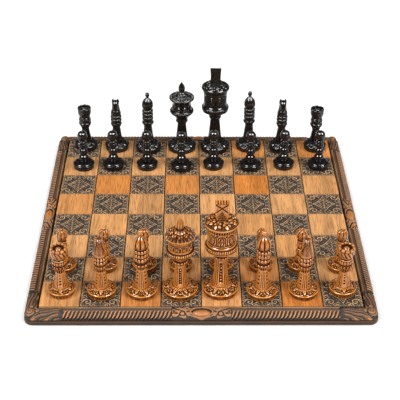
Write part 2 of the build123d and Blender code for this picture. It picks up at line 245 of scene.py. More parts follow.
def add_object(name, data):
    """New object in the scene."""
    made = bpy.data.objects.new(name, data)
    bpy.context.scene.collection.objects.link(made)
    return made


def add_piece(name, mesh, body, node, place=Matrix.Identity(4)):
    """Put a mesh on the stage as one piece that stands for a CAD node."""
    piece = add_object(name, mesh)
    piece.matrix_world = place
    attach(piece, body)
    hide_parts(node)
    return piece


# ---- carved bands (u, v)

def cell(value):
    """Position inside the current repeat, from -1 to 1."""
    return 2 * (value % 1) - 1


def band(pattern):
    """Maker of carved bands: the pattern sees x from -1 to 1 in each repeat, and v along the step."""
    def maker(count, *settings):
        def relief(u, v):
            return pattern(cell(u * count) + 0 * v, v + 0 * u, *settings)
        return relief
    return maker


def ribs(count, slant=0.0):
    """Round ribs with sharp valleys between them, slanted by a number of ribs along the step."""
    def relief(u, v):
        x = cell(u * count + slant * v)
        return np.sqrt(1 - 0.96 * x * x) - 1, away(x, 0.60, 0.90)
    return relief


@band
def ticks(x, v):
    """Fine upright cuts around a rim."""
    dark = away(x, 0.25, 0.65) * ease(0.0, 0.15, v) * ease(1.0, 0.85, v)
    return -dark, dark * 0.9


@band
def beads(x, v):
    """A row of half-round beads."""
    y = cell(v)
    far = np.sqrt(x * x + y * y)
    return half_round(far) - 0.6, ease(0.78, 1.0, far)


def groove(u, v):
    """Plain dark groove."""
    deep = np.sin(pi * v) + 0 * u
    return -deep, ease(0.0, 0.6, deep)


def cut(radius, height, depth=0.3):
    """Outline step with a groove in it."""
    return radius, height, 0, groove, depth


def stem(slots, shift=0.5):
    """Four panels parted by grooves; each is drilled or holds a slot with a row of beads."""
    def relief(u, v):
        near = np.abs(cell(u * 4 + shift)) + 0 * v
        ends = ease(0.03, 0.08, v) * ease(1.0, 0.97, v)
        seam = ease(0.08, 0.03, 1 - near)
        edges = np.maximum(0.8 * away(near - 0.64, 0.07, 0.03), seam) * ends
        if slots:
            inside = ease(0.34, 0.27, near) * ease(0.16, 0.20, v) * ease(0.95, 0.91, v)
            bead = np.clip(1 - (near / 0.16) ** 2 - (cell(v * 9) / 0.7) ** 2, 0, 1) * inside
            dark = inside * ease(0.30, 0.05, bead)
            rise = -inside * 1.2 + np.sqrt(bead) * 1.0
            return np.minimum(rise, -0.8 * edges), np.maximum(dark, edges)
        size = 0.30 - 0.08 * v
        hole = ease(1.0, 0.7, np.hypot(near / size, cell(v * 5.0) / (0.75 - 0.3 * v)))
        dark = np.maximum(hole * (v > 0.2) * (v < 0.98), edges)
        return -dark, dark
    return relief


@band
def eyes(x, v):
    """Medallions with a flower of dots, parted by crossing bands."""
    y = 2 * v - 1
    far = np.hypot(x / 0.66, (y + 0.22) / 0.66)
    turn = np.arctan2((y + 0.22) * 0.9, x)
    flower = away(far - 0.52, 0.40, 0.15) * ease(-0.1, 0.5, np.cos(6 * turn))
    core = ease(0.26, 0.14, far)
    side = 1 - np.abs(x)
    bands = away(side - 0.20 - 0.22 * (y + 0.6), 0.13, 0.05) * (far > 1.0)
    dots = ease(0.20, 0.10, np.hypot(side, (y - 0.55) * 0.8))
    dark = np.maximum.reduce([away(far - 1, 0.20, 0.08) * 0.9, flower, core, bands * 0.9, dots])
    return 0.6 * ease(1.0, 0.5, far) - 1.2 * dark, dark


@band
def blossoms(x, v):
    """Flat flowers with split petals, packed side by side."""
    y = 2 * v - 1
    far = np.hypot(x, y * 0.9)
    turn = np.arctan2(y, x)
    split = away(cell(5 * turn / TAU), 0.55, 0.85) * (far > 0.28)
    edge = away(far - 0.92 + 0.10 * np.cos(5 * turn), 0.16, 0.05)
    core = ease(0.34, 0.22, far) - ease(0.16, 0.08, far)
    outside = ease(0.95, 1.1, far)
    dark = np.maximum.reduce([split * (far < 0.9), edge, core, outside * 0.75])
    return 0.8 * ease(1.0, 0.3, far) - dark, dark


@band
def arcade(x, v):
    """Panels with round tops between slim columns, a leaf and a row of small cuts in each."""
    side, middle = np.abs(x), np.abs(v - 0.5)
    arch = np.where(v > 0.60, np.hypot(x / 0.82, (v - 0.60) / 0.30), side / 0.82)
    outline = away(arch - 1, 0.16, 0.06) * ease(0.10, 0.16, v)
    leaf = away(side - 0.42 * half_round((v - 0.5) / 0.34), 0.12, 0.04) * (middle < 0.34)
    veins = away(cell(v * 8 - side * 1.4), 0.50, 0.85) * (side < 0.34) * (middle < 0.30)
    foot = away(v - 0.12, 0.06, 0.03) * 0.8
    corner = ease(0.24, 0.14, np.hypot(1 - side, (v - 0.90) * 2.2))
    dark = np.maximum.reduce([outline, leaf * 0.9, veins * 0.8, foot, corner])
    return 0.4 * ease(0.9, 0.4, arch) - dark, dark


@band
def petals(x, v):
    """Overlapping pointed leaves that rise along the step."""
    x = np.abs(x)
    edge = away(x - np.sqrt(np.clip(1 - v, 0, 1)), 0.16, 0.05)
    rib = ease(0.14, 0.04, x) * (v < 0.9)
    veins = away(cell(v * 4 + x * 1.3), 0.5, 0.85) * (x < 0.85)
    dark = np.maximum.reduce([edge, rib * 0.9, veins * 0.7])
    return -dark + 0.4 * (1 - x), dark


def crinkle(u, v):
    """Ribs with pointed leaves laid over them."""
    (rise, dark), (leaf_rise, leaf_dark) = ribs(22)(u, v), petals(22)(u, v)
    return rise + 0.6 * leaf_rise, np.maximum(dark, leaf_dark)


@band
def flutes(x, v):
    """Hollow flutes that part raised, rounded fillets."""
    deep = away(x, 0.20, 0.65) * (ease(0.0, 0.12, v) * ease(1.0, 0.88, v))
    return -deep, deep


@band
def melon(x, v, dots):
    """Lobes of a ball: dark seams, and on request a row of dots down each lobe."""
    seam = away(x, 0.70, 0.88) * ease(1.0, 0.90, v) * ease(0.0, 0.1, v)
    if not dots:
        return -seam, seam
    dot = ease(0.36, 0.22, np.hypot(x, cell(v * 4) * 0.8)) * (v > 0.2) * (v < 0.9)
    dark = np.maximum(seam, dot)
    return -dark - 0.5 * x * x, dark


# ---- the men

def base_steps(radius, rim_cuts, eye_count, shoulder, bulge):
    """Rim with fine cuts under an overhanging lip, and the carved shoulder that every man stands on."""
    return [
        (radius - 2.0, 0, 0), (radius - 1.0, 0.4, 0), (radius - 0.8, 1.0, 0.1),
        (radius - 0.8, 4.6, 0, ticks(rim_cuts), 0.45), cut(radius - 1.3, 5.1, 0.4),
        (radius - 0.3, 5.7, 0.1, groove, 0.2), (radius - 0.05, 6.4, 0.1), (radius - 0.8, 7.3, 0.25),
        cut(radius - 1.6, 7.5, 0.35),
        (shoulder[0] + 0.8, shoulder[1], bulge, eyes(eye_count), 0.7),
        (shoulder[0], shoulder[1] + 0.4, 0),
    ]


def king_mesh(carve):
    """King: beaded slots in the stem, carved drum and flat domed cap; the finial is added apart."""
    return lathe(base_steps(20.4, 68, 7, (9.8, 10.6), 1.0) + [
        cut(9.8, 11.6), (6.5, 45.0, -0.2, stem(True), 1.0), (5.9, 46.0, 0),
        (7.6, 47.6, 0.2, flutes(16), 0.4), (8.0, 50.8, 0.5, beads(14), 0.6),
        cut(7.4, 52.2, 0.4), (9.8, 54.0, 0.3),
        (17.0, 59.4, -0.9, ribs(24), 0.5), (17.7, 60.6, 0.3), (17.4, 61.6, 0.2, groove, 0.3),
        (17.7, 65.6, 0.8, ribs(44), 0.8), cut(16.2, 67.0, 0.6),
        (15.4, 68.2, 0.2), cut(15.2, 69.6), (15.5, 85.6, -0.2, arcade(9), 0.9),
        (16.2, 87.6, 0.2, beads(36), 0.5), (18.0, 91.6, -0.4, flutes(36), 0.6),
        (18.5, 94.2, 0.5), (17.6, 95.4, 0.2, groove, 0.2), (6.6, 98.9, 0.7, blossoms(8), 0.85),
        (3.0, 99.2, 0.1), (0.5, 99.3, 0),
    ], carve)


def plate(half_width, depth, height, dark):
    """Closed body between a carved front grid and the same grid behind, seen in a mirror."""
    x = np.linspace(-1, 1, dark.shape[1])[None, :] * half_width
    front, back = (np.stack([x, facing * depth, height + 0 * x], axis=-1) for facing in (-1, 1))
    return closed_sheet(front, back, np.tile(dark.ravel(), 2))


def king_finial():
    """Flared block with a diagonal cross and a notched top, and the pointed leaves at its foot."""
    bottom, top = 98.0, 120.0
    x = np.linspace(-1, 1, 37)[None, :]
    v = np.linspace(-1, 1, 49)[:, None]
    rise = (v + 1) / 2
    half_width = 6.7 + 0.6 * v ** 2 - 2.6 * ease(0.16, 0.0, rise)
    cross = away(np.abs(x) - np.abs(rise - 0.66) / 0.24, 0.20, 0.08) * (rise < 0.90) * (rise > 0.2)
    ledge = away(rise - 0.92, 0.025, 0.010) * 0.4
    notch = away(cell(x * 2.5 + 0.5), 0.45, 0.75) * (rise > 0.94)
    dark = np.maximum.reduce([cross, ledge + 0 * x, notch]) * away(x, 1.0, 0.93)
    depth = 2.6 + 0.2 * v ** 2 + 0.3 * (rise > 0.90) - 0.6 * dark
    block = plate(half_width + 0 * x, depth, bottom + (top - bottom) * rise, dark)
    v = np.linspace(0, 1, 25)[:, None]
    side = np.abs(x)
    chevron = away(cell(v * 4.5 + side * 0.8), 0.45, 0.8)
    dark = np.maximum(chevron * 0.8, ease(0.12, 0.04, side)) * (v < 0.9)
    leaf = plate(5.4 * (1 - v) + 0.1 + 0 * x, 6.6 - 3.1 * v - 1.6 * side ** 2 * (1 - v) - 0.3 * dark,
                 bottom + 12.0 * v, 0.25 + 0.75 * dark)
    return join([block, leaf])


def queen_mesh(carve):
    """Queen: fluted drum, a flat coronet of crinkled petals and a leaf-shaped bud."""
    return lathe(base_steps(19.8, 66, 7, (9.2, 10.6), 1.0) + [
        cut(8.8, 11.6), (5.9, 38.6, -0.2, stem(True), 0.9), (5.6, 39.6, 0),
        (7.4, 41.8, 0.1, flutes(16), 0.4), (7.9, 45.4, 0.5, beads(14), 0.6),
        cut(7.4, 47.2), (8.4, 48.8, 0.3), cut(10.4, 50.8),
        (15.0, 56.0, -0.6), (15.6, 57.2, 0.3, groove, 0.2), (15.6, 60.0, 0.6, ribs(40), 0.7),
        cut(13.4, 61.2, 0.5), (12.9, 62.2, 0.2), (12.6, 70.4, -0.2, arcade(10), 0.9),
        (13.2, 71.8, 0.2, groove, 0.3), (16.6, 77.0, -0.5), (16.9, 78.8, 0.3),
        (12.4, 81.4, 0.3, crinkle, 1.3), (7.2, 83.0, 0.4, blossoms(9), 1.3),
        (6.0, 84.0, 0.1, ribs(10), 0.6), (5.4, 85.8, -0.2, ribs(10), 0.6), (4.0, 88.6, -0.3, groove, 0.3),
        (4.6, 92.6, 0.3, ribs(8), 1.3), (1.3, 99.6, 0.5, ribs(8), 1.0), (0.5, 101.2, 0),
    ], carve)


def bishop_mesh(carve):
    """Bishop: fluted collar, rows of beads and a ribbed bud under a ball."""
    return lathe(base_steps(17.6, 60, 7, (8.8, 10.4), 0.9) + [
        cut(8.2, 11.2), (5.6, 34.0, -0.2, stem(False, 0.0), 0.9), (5.2, 35.0, 0),
        (7.4, 40.0, -0.5, flutes(14), 0.7), (7.6, 43.4, 0.5, beads(12), 0.6), cut(6.4, 45.4),
        (6.5, 50.8, 1.0, beads(12), 0.8), (6.5, 56.4, 1.0, beads(12), 0.8),
        (6.5, 61.8, 1.0, beads(12), 0.8), cut(6.4, 63.2),
        (7.9, 68.6, 0.5, ribs(8), 1.0), (4.6, 76.0, 0.7, ribs(8), 0.9), (1.2, 80.0, -0.2, ribs(8), 0.3),
        (2.8, 83.2, 0.9), (0.5, 86.2, 0.9),
    ], carve)


def rook_mesh(carve):
    """Rook: flared flutes, beaded band and a hollow crown with slanted ribs and a notched rim."""
    points, quads, triangles, cavity = lathe(base_steps(15.5, 54, 6, (8.6, 9.8), 0.8) + [
        cut(8.2, 10.6), (5.2, 28.4, -0.2, stem(False), 0.9), (5.0, 29.2, 0),
        (7.8, 36.0, -0.5, flutes(14), 0.8), (8.3, 39.4, 0.3, flutes(14), 0.7),
        cut(7.5, 41.2, 0.6), (7.6, 46.0, 0.5, beads(16), 0.7),
        (7.4, 47.4, 0.1), cut(6.8, 49.2, 0.5), (7.8, 50.6, 0.3),
        (8.8, 58.2, 0.7, ribs(12, 0.8), 0.8), cut(8.7, 58.9), (9.1, 60.4, 0.4),
        (8.0, 62.0, 0.5), (6.5, 61.5, 0.4), (6.0, 59.6, 0.1), cut(5.4, 58.0, 0.1),
        cut(3.8, 57.8, 0.1), (3.1, 59.8, 0.6, ribs(6), 0.3), (0.5, 60.9, 0.5, ribs(6), 0.3),
    ], carve)
    angle = np.arctan2(points[:, 1], points[:, 0])
    radius = np.hypot(points[:, 0], points[:, 1])
    rim = (points[:, 2] > 58.6) & (radius > 6.2)
    notch = ease(0.55, 0.85, np.cos(angle * 10)) * rim
    points[:, 2] -= notch * np.minimum(0.95 - 0.5 * carve, points[:, 2] - 58.6)
    # Painted shade inside the hollow crown: floor and walls are marked dark, all but the knob in the
    # middle.
    inside = (radius < 6.3) & (points[:, 2] > 57) & (points[:, 2] < 61.2)
    cavity = np.where(inside, np.maximum(cavity, 0.9 * ease(3.2, 4.0, radius)), cavity)
    return points, quads, triangles, np.maximum(cavity, notch * 0.6)


def pawn_mesh(carve):
    """Pawn: balls of falling size, a ring and a lobed head."""
    seamed, dotted = melon(10, False), melon(8, True)
    return lathe(base_steps(14.2, 48, 6, (6.4, 9.2), 0.8) + [
        cut(4.6, 9.8), (4.5, 18.6, 2.1, seamed, 0.35), cut(3.9, 19.1),
        (3.9, 28.2, 2.1, seamed, 0.3), cut(3.5, 28.7),
        (3.5, 36.5, 1.9, seamed, 0.3), (4.5, 37.2, 0), (4.8, 39.2, 0.4, ribs(16), 0.3),
        cut(3.6, 40.8, 0.4), (3.8, 41.5, 0), (6.55, 48.0, 1.1, dotted, 0.7),
        (2.2, 54.3, 1.25, dotted, 0.7), cut(1.2, 54.4, 0.2), (0.5, 55.5, 0.3),
    ], carve, around=144)


def tube(path, widths, depths, around=40, relief=None):
    """Closed body of oval sections along a path in the YZ plane; widths are along X."""
    path = np.array(path, float)
    count = 64
    place = np.linspace(0, 1, len(path))
    fine = np.linspace(0, 1, count)

    def smooth(values):
        rough = np.interp(fine, place, values)
        for _ in range(6):
            rough[1:-1] = (rough[:-2] + 2 * rough[1:-1] + rough[2:]) / 4
        return rough

    y, z = smooth(path[:, 0]), smooth(path[:, 1])
    width, depth = smooth(widths), smooth(depths)
    direction = np.stack([np.gradient(y), np.gradient(z)], axis=1)
    direction /= np.hypot(direction[:, 0], direction[:, 1])[:, None]
    side = np.stack([direction[:, 1], -direction[:, 0]], axis=1)
    angle = TAU * np.arange(around) / around
    lift, dark = (np.zeros((count, around)),) * 2
    if relief is not None:
        lift, dark = relief(angle[None, :], fine[:, None])
    across = np.sin(angle)[None, :] * (width[:, None] + lift)
    along = np.cos(angle)[None, :] * (depth[:, None] + lift)
    points = np.stack([across, y[:, None] + along * side[:, :1], z[:, None] + along * side[:, 1:]], axis=-1)
    return closed_tube(points, (0, y[0], z[0]), (0, y[-1], z[-1]), dark)


def mane(angle, v):
    """Bell-shaped panel of scales down the back of the neck, inside a grooved border."""
    back = (angle + pi) % TAU - pi
    reach = (0.55 + 1.5 * np.clip((0.42 - v) / 0.42, 0, 1) ** 1.5) * (v > 0.02) * (v < 0.52)
    inside = np.abs(back) < reach
    row = v * 22
    scales = np.hypot(cell(back * 2.6 + 0.5 * (np.floor(row) % 2)), cell(row) * 0.9)
    edge = away(np.abs(back) - reach, 0.14, 0.05) * (v < 0.54) * (v > 0.02)
    dark = np.maximum(np.where(inside, 0.55 * ease(0.70, 1.0, scales), 0), edge)
    return 0.25 * inside - 0.6 * dark, dark


def knight_mesh(carve):
    """Knight: beaded neck and a horse's head that looks along -Y."""
    turned = lathe(base_steps(16.6, 58, 6, (8.4, 10.0), 0.8) + [
        cut(8.0, 10.8), (5.5, 30.6, -0.2, stem(False, 0.0), 0.9), (5.1, 31.4, 0),
        (7.1, 37.0, -0.4, flutes(14), 0.7), (7.4, 40.4, 0.4, ribs(14), 0.6), cut(6.5, 42.0),
        (6.5, 46.8, 0.9, beads(12), 0.7), (6.5, 51.6, 0.9, beads(12), 0.7), (7.0, 53.2, 0.2, groove, 0.3),
        (6.4, 57.0, 0.3), (4.0, 60.0, 0.6), (0.5, 62.0, 0),
    ], carve, around=160)
    neck = tube(
        [(0.6, 51), (0.8, 57), (0.6, 63), (-0.2, 68.0), (-2.0, 70.8), (-4.4, 69.0), (-6.2, 66.0),
         (-7.6, 62.8), (-8.2, 61.4)],
        [6.2, 6.2, 5.2, 4.8, 4.7, 4.0, 3.4, 3.6, 1.8], [5.6, 6.4, 6.0, 5.4, 4.4, 3.8, 3.2, 2.9, 1.2],
        relief=mane)
    parts = [turned, neck]
    for side in (-1, 1):
        ear = tube([(0.8, 68.6), (0.7, 71.8), (0.5, 74.4), (0.5, 76.0)], [1.9, 1.9, 1.2, 0.2],
                   [1.4, 1.4, 0.9, 0.2], around=16)
        ear[0][:, 0] += side * 3.2
        parts.append(ear)
        for y, z, x, size in ((-4.2, 69.0, 3.9, 1.0), (-7.8, 63.6, 2.2, 0.7)):
            widths = [0.2, size, 0.2]
            ball = tube([(y, z - size), (y, z), (y, z + size)], widths, widths, around=12)
            ball[0][:, 0] += side * x
            parts.append((*ball[:3], np.ones(len(ball[0]))))
    return join(parts)


def men():
    """Build each kind once per colour and stand a copy on every CAD man."""
    colours = {
        "white": (honey_resin(), "honey_resin", 1.25, 1.25),
        "black": (black_resin(), "black_resin", 0.7, 0.12),
    }
    meshes = {}
    for colour, (material, _, carve, pawn_carve) in colours.items():
        kinds = {
            "king": join([king_mesh(carve), king_finial()]), "queen": queen_mesh(carve),
            "bishop": bishop_mesh(carve), "knight": knight_mesh(carve), "rook": rook_mesh(carve),
            "pawn": pawn_mesh(pawn_carve),
        }
        for kind, shape in kinds.items():
            meshes[colour, kind] = new_mesh(f"{colour}_{kind}_mesh", shape, material)
    for node in sorted(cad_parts):
        colour, _, rest = node.partition("_")
        if colour not in colours:
            continue
        kind = rest.split("_")[0]
        low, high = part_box(node)
        place = Matrix.Translation(((low[0] + high[0]) / 2, (low[1] + high[1]) / 2, low[2]))
        if colour == "white":
            place = place @ Matrix.Rotation(pi, 4, "Z")
        add_piece(f"{node}_carved", meshes[colour, kind], node, node, place)


# ---- the board

def stroke(x, y, start, bend, end, width):
    """Rounded ridge along a curve that narrows to its end: 0 beside it, 1 on its crest."""
    ridge = np.zeros_like(x)
    for t in np.linspace(0, 1, 22):
        px, py = ((1 - t) ** 2 * first + 2 * t * (1 - t) * second + t * t * third
                  for first, second, third in zip(start, bend, end))
        reach = width * (1 - 0.65 * t)
        ridge = np.maximum(ridge, np.sqrt(np.clip(1 - ((x - px) ** 2 + (y - py) ** 2) / reach ** 2, 0, 1))
                           * (1 - 0.25 * t))
    return ridge


TILE_STROKES = (
    ((0.99, 0.14), (0.88, 0.06), (0.72, 0.05), 0.045), ((0.86, 0.50), (0.72, 0.42), (0.60, 0.20), 0.045),
    ((0.52, 0.88), (0.40, 0.70), (0.22, 0.66), 0.045), ((0.10, 0.99), (0.10, 0.90), (0.02, 0.86), 0.045),
    ((0.90, 0.90), (0.74, 0.98), (0.62, 0.90), 0.040), ((0.90, 0.90), (0.98, 0.74), (0.90, 0.62), 0.040),
)
TILE_COILS = (((0.64, 0.66), 0.24, 1), ((0.82, 0.27), 0.15, -1), ((0.29, 0.82), 0.14, -1))


def coil(x, y, centre, radius, hand):
    """Coiled ridge that fills a circle."""
    far = np.hypot(x - centre[0], y - centre[1])
    turn = np.arctan2(y - centre[1], x - centre[0]) / TAU
    side = np.abs(cell(far / 0.155 - hand * turn))
    return half_round(side / 0.52) * (far < radius)


def dark_square_relief(half):
    """Carved square: a veined leaf in a double-lined lozenge, coils around it and a dotted border."""
    line = np.linspace(-half, half, TILE_SAMPLES)
    x, y = np.meshgrid(line, line)
    ax, ay = np.abs(x) / half, np.abs(y) / half
    height = np.maximum.reduce([coil(ax, ay, *each) for each in TILE_COILS]
                               + [stroke(ax, ay, *each) for each in TILE_STROKES])
    large = (ax / 0.66) ** 0.75 + (ay / 0.80) ** 0.75
    for middle, width in ((1.0, 0.065), (0.80, 0.050)):
        ridge = half_round((large - middle) / width)
        height = np.maximum(height * (np.abs(large - middle) > width * 1.5), ridge)
    outer = half_round((large - 1.25) / 0.08) * away(cell((ax - ay) * 4.0), 0.75, 0.35)
    veins = away(cell((ay - 0.55 * ax) * 5.0 + 0.25), 0.42, 0.85)
    leaf = np.maximum(veins, ease(0.045, 0.020, ax)) * (large < 0.70)
    height = np.maximum.reduce([height, outer * 0.8, leaf * 0.85])
    edge = np.maximum(ax, ay)
    along = np.where(ax > ay, y, x)
    hole = ease(1.0, 0.6, np.hypot(cell(along / 2.9) * 1.45, (edge - 0.925) * half) / 0.75)
    border = ease(0.855, 0.880, edge) * (1 - hole) * 0.8
    height = np.where(edge > 0.85, np.maximum(border, height * (edge < 0.87)), height)
    height = height * (edge < 0.985)
    wear = np.sin(x * 1.9 + 2.0 * np.sin(y * 0.8)) * np.sin(y * 1.6 + 2.0 * np.sin(x * 0.7))
    height = height * (0.80 + 0.20 * wear)
    return x, y, height, 1 - ease(0.25, 0.85, height)


def dark_squares():
    """Eight strips of four carved squares."""
    low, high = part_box("dark_squares")
    side = SQUARE / MM
    x, y, height, cavity = dark_square_relief((side - TILE_GAP) / 2)
    z = high[2] / MM - TILE_DEPTH * (1 - height)
    material = carved_walnut("carved_squares", 1.65, (0.44, 0.25, 0.105))
    for row in range(8):
        grids = [np.stack([x + (column - 3.5) * side, y + (row - 3.5) * side, z], axis=-1)
                 for column in range(8) if (column + row) % 2]
        shape = join([tile_slab(grid, cavity, low[2] / MM) for grid in grids])
        name = f"dark_squares_row{row + 1}"
        add_piece(name, new_mesh(name, shape, material), "board", "dark_squares")


def gadroon_grid(start, end):
    """Ribbed quarter round from the hollow beside the light strip to the shadow line."""
    pitch, hollow_width, share = 4.2, 3.8, 0.26
    inner = -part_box("gadroon_front")[1][1] / MM
    ribs_in_run = round((end - start) / pitch)
    x = np.linspace(start, end, ribs_in_run * 14 + 1)[:, None]
    t = np.linspace(0, 1, 32)[None, :]
    hollow = np.clip(t / share, 0, 1)
    turn = np.clip((t - share) / (1 - share), 0, 1) * radians(96)
    centre = inner + hollow_width
    across = np.where(t < share, inner + hollow_width * hollow, centre + (OUTLINE - centre) * np.sin(turn))
    up = np.where(t < share, SHELF + RISE * (0.84 - 0.20 * np.sin(pi * hollow)),
                  SHELF + RISE * 0.92 * np.clip(np.cos(turn), 0, 1) ** 0.8)
    phase = cell((x - start) / (end - start) * ribs_in_run + 2.2 * t + 0.15 * np.sin(TAU * t)) / 0.80
    on_round = ease(share, share + 0.10, t)
    lift = (half_round(phase) - 1) * RIB_DEPTH * on_round
    across = across + lift * np.sin(turn)
    up = np.maximum(up + lift * np.cos(turn), SHELF)
    lips = ease(0.30, 0.0, hollow) + ease(0.8, 1.0, hollow)
    recess = np.where(t < share, 0.32 + 0.5 * lips, 0)
    dark = np.maximum(away(phase, 0.40, 0.80) * on_round, recess)
    # Painted shade: the lower part of the round, where it turns under towards the shadow line, is marked
    # almost fully dark.
    dark = np.maximum(dark, 0.95 * ease(0.76, 0.92, t) + 0 * phase)
    return np.stack([x + 0 * across, -across + 0 * x, up + 0 * x], axis=-1), dark


def quarter_turns(kind, names):
    """CAD node and place of each copy of a carving around the board."""
    return [(f"{kind}_{name}", Matrix.Rotation(number * pi / 2, 4, "Z"))
            for number, name in enumerate(names)]


def add_carving(node, shape, material, place):
    """Put one carving of the frame in place of its CAD node."""
    add_piece(f"{node}_carved", new_mesh(node, shape, material), "board", node, place)


def gadroons():
    """Two ribbed runs on each side of the board."""
    material = carved_walnut("carved_gadroon", 1.05)
    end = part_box("gadroon_front")[1][0] / MM
    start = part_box("cartouche_front")[1][0] / MM
    runs = join([slab(*gadroon_grid(*run), SHELF) for run in ((start, end), (-end, -start))])
    for node, place in quarter_turns("gadroon", SIDES):
        add_carving(node, runs, material, place)


def edge_round(distance, height):
    """Height of the quarter round along the rail at a distance from its outer edge."""
    t = np.clip(distance / EDGE_ROUND, 0, 1)
    return height * half_round(1 - t)


def corner_grid():
    """Points of one corner carving, ruled from the field's corner to the outer outline."""
    inner = FIELD_HALF + GROOVE
    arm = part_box("corner_front_right")[0][0] / MM
    along, around = 56, 34
    turn = np.linspace(0, pi / 2, around)
    bend = OUTLINE - CORNER_ROUND
    outer_x = np.concatenate([np.linspace(arm, bend, along), bend + CORNER_ROUND * np.sin(turn),
                              np.full(along, OUTLINE)])
    outer_y = np.concatenate([np.full(along, OUTLINE), bend + CORNER_ROUND * np.cos(turn),
                              np.linspace(bend, arm, along)])
    straight = np.linspace(arm, inner, along)
    inner_x = np.concatenate([straight, np.full(around + along, inner)])
    inner_y = np.concatenate([np.full(along + around, inner), straight[::-1]])
    t = np.linspace(0, 1, 48)[None, :] ** 0.8
    x = inner_x[:, None] * (1 - t) + outer_x[:, None] * t
    y = inner_y[:, None] * (1 - t) + outer_y[:, None] * t
    return x, y, t, arm


def corner_relief():
    """Long leaf that sweeps along both rails from a round knob at the corner, with a bud beside it."""
    x, y, t, arm = corner_grid()
    knob = OUTLINE - 7.6
    far = np.hypot(knob - x, knob - y)
    angle = np.arctan2(knob - y, knob - x)
    bend = OUTLINE - CORNER_ROUND
    edge = np.minimum(OUTLINE - x, OUTLINE - y)
    edge = np.where((x > bend) & (y > bend), CORNER_ROUND - np.hypot(x - bend, y - bend), edge)
    body = edge_round(np.clip(edge, 0, None), RISE - 1.0)
    run = np.clip((OUTLINE - np.minimum(x, y)) / (OUTLINE - arm), 0, 1)
    lane = 3.6 * (t + 0.85 * run ** 0.8) + 0.10 * np.sin(18 * run)
    vein = np.abs(cell(lane))
    fine = np.abs(cell(lane * 3))
    fade = ease(6.2, 9.0, far)
    height = body - (0.9 * ease(0.45, 0.95, vein) + 0.35 * ease(0.5, 0.9, fine)) * fade
    dark = np.maximum(ease(0.50, 0.85, vein), 0.65 * ease(0.45, 0.85, fine)) * fade
    tip = ease(0.90, 0.97, run + 0.05 * np.abs(cell(t * 2.5)))
    height, dark = height - 1.2 * tip, np.maximum(dark, tip)
    knob_far = far / 5.6
    dome = half_round(knob_far)
    height = np.where(knob_far < 1, body * 0.5 + 1.6 + 3.4 * dome, height)
    spiral = np.abs(cell(knob_far * 2.2 - angle / TAU))
    curl = ease(0.62, 0.92, spiral) * (knob_far < 0.95) * (knob_far > 0.15)
    ring = away(knob_far - 1.08, 0.18, 0.06)
    dark = np.maximum.reduce([dark * (knob_far > 1), ring, curl * 0.9])
    height = height - ring * 1.2 - curl * 0.5
    for place_x, place_y, size in ((knob - 7.6, knob - 0.6, 2.5), (knob - 0.6, knob - 7.6, 2.5)):
        bud = np.hypot(x - place_x, y - place_y) / size
        height = np.where(bud < 1, np.maximum(height, body + 0.9 * half_round(bud)), height)
        dark = np.maximum(dark * (bud > 1), away(bud - 1.08, 0.24, 0.10))
    rim = ease(0.08, 0.03, t + 0 * x)
    height, dark = height - 0.6 * rim, np.maximum(dark, away(t - 0.16, 0.05, 0.02) * fade)
    z = SHELF + np.clip(height, 0, RISE)
    return np.stack([x, -y, z], axis=-1), dark


def corners():
    """The four corner carvings."""
    shape = slab(*corner_relief(), SHELF)
    material = carved_walnut("carved_corner", 0.82)
    for node, place in quarter_turns("corner", CORNERS):
        add_carving(node, shape, material, place)


CARTOUCHE_STROKES = (
    ((16.0, 8.0), (22.0, 10.0), (30.0, 14.0), 1.0), ((17.0, 10.4), (22.0, 12.0), (25.5, 14.0), 0.9),
    ((23.0, 7.0), (27.0, 8.4), (32.0, 10.6), 1.0), ((31.0, 3.0), (25.5, 1.6), (25.0, 5.6), 1.2),
    ((25.0, 5.6), (28.0, 8.0), (30.0, 5.4), 0.8), ((13.6, 12.4), (16.0, 13.6), (20.0, 13.8), 0.8),
    ((17.6, 1.4), (20.0, 0.9), (24.0, 1.6), 0.8), ((31.5, 6.0), (32.4, 8.0), (32.0, 9.0), 0.7),
)
CARTOUCHE_BALLS = ((14.3, 4.3, 2.6), (21.0, 4.6, 2.3))


def cartouche_relief(half, middle, oval):
    """Scrolls around a double ring: x along the rail, b inwards from its edge."""
    x = np.linspace(-half, half, 200)[:, None]
    b = np.linspace(0, 1, 56)[None, :] ** 1.2 * (OUTLINE - FIELD_HALF - GROOVE)
    x, b = x + 0 * b, b + 0 * x
    side = np.abs(x)
    body = edge_round(b, RISE - 0.8)
    crest = np.maximum.reduce([stroke(side, b, *ends, 1.3 * width) for *ends, width in CARTOUCHE_STROKES])
    for place_x, place_b, size in CARTOUCHE_BALLS:
        ball = np.hypot(side - place_x, b - place_b) / size
        crest = np.where(ball < 1.25, half_round(ball), crest)
    bar = np.maximum(np.abs(side - 12.9) / 2.0, np.abs(b - 8.6) / 0.9)
    crest = np.maximum(crest, ease(1.1, 0.8, bar))
    for reach_x, reach_b, width in ((oval[0] + 1.5, oval[1] + 1.2, 0.09), (17.6, middle - 0.5, 0.05)):
        far = np.hypot(x / reach_x, (b - middle) / reach_b)
        crest = np.maximum(crest, half_round((far - 1) / width))
    height = body * 0.80 + crest * (body * 0.20 + 0.5)
    seat = np.hypot(x / oval[0], (b - middle) / oval[1])
    height = np.where(seat < 1.0, body * 0.45, height)
    dark = 1 - ease(0.05, 0.60, crest)
    z = SHELF + np.clip(height, 0, RISE)
    return np.stack([-x, -(OUTLINE - b), z], axis=-1), dark


def dome(centre, half_x, half_y, floor, top):
    """Oval cabochon: the upper half of an ellipsoid on a short upright edge."""
    around, up = 72, 18
    angle = TAU * np.arange(around) / around
    turn = np.linspace(0, pi / 2 - 0.02, up)
    scale = np.concatenate([[1.0], np.cos(turn)])[:, None]
    lip = floor + CABOCHON_LIP
    z = np.concatenate([[floor], lip + (top - floor - CABOCHON_LIP) * np.sin(turn)])[:, None]
    rings = np.stack([centre[0] + half_x * scale * np.cos(angle),
                      centre[1] + half_y * scale * np.sin(angle), z + 0 * angle], axis=-1)
    return closed_tube(rings, (*centre, floor), (*centre, top), 0 * rings[..., 0])


